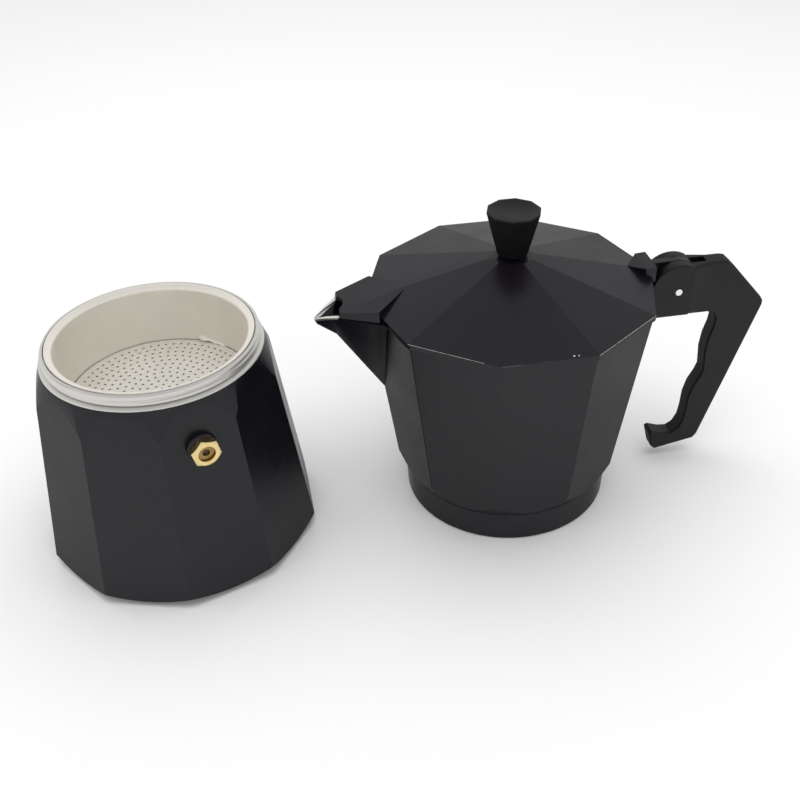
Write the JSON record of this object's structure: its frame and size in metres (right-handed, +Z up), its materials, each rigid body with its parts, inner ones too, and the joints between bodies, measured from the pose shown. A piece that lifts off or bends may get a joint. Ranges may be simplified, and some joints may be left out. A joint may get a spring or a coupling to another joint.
{
  "type": "moka pot",
  "caption": "Faceted black stove-top moka pot, unscrewed: boiler with brass safety valve and coffee funnel beside the spouted collector with hinged lid, knob and angular handle.",
  "frame": {"origin": "middle of the boiler's flat base, on the plane both halves stand on", "axes": "+X from the boiler through the collector's spout to its handle, +Z up"},
  "size_m": [0.315, 0.1166, 0.1346],
  "materials": {
    "black_paint": "satin black paint on cast aluminium",
    "raw_aluminium": "matte machined aluminium",
    "brass": "bright turned brass",
    "steel": "bright steel",
    "handle_plastic": "satin moulded plastic",
    "gasket_rubber": "pale silicone rubber",
    "valve_fibre": "dull fibre sealing washer"
  },
  "bodies": {
    "boiler_half": {"boiler": "black_paint", "valve_body": "brass", "valve_washer": "valve_fibre", "valve_spring": "steel", "valve_cap": "brass"},
    "plunger": {"valve_plunger": "brass"},
    "funnel": {"funnel_bowl": "raw_aluminium", "funnel_strainer": "raw_aluminium", "funnel_stem": "raw_aluminium"},
    "collector_half": {"collector": "black_paint", "filter_plate": "raw_aluminium", "gasket": "gasket_rubber", "hinge_pin": "steel", "handle": "handle_plastic"},
    "lid_assembly": {"lid": "black_paint", "knob": "handle_plastic", "knob_washer": "raw_aluminium", "knob_screw": "steel"}
  },
  "joints": [
    {"name": "valve_relief", "type": "slide", "parent": "boiler_half", "child": "plunger", "axis": [0.3364, -0.9417, 0], "range_m": [0, 0.0015], "stiffness_N_per_m": 1500, "springref_m": -0.0009, "deforming": ["valve_spring"]},
    {"name": "funnel_lift", "type": "slide", "parent": "boiler_half", "child": "funnel", "axis": [0, 0, 1], "range_m": [0, 0.095]},
    {"name": "collector_lift", "type": "slide", "parent": "boiler_half", "child": "collector_half", "axis": [0, 0, 1], "range_m": [0, 0.15]},
    {"name": "lid_hinge", "type": "hinge", "parent": "collector_half", "child": "lid_assembly", "pos_m": [0.2177, -0.0007, 0.0925], "axis": [0, 1, 0], "range_deg": [0, 90]}
  ]
}
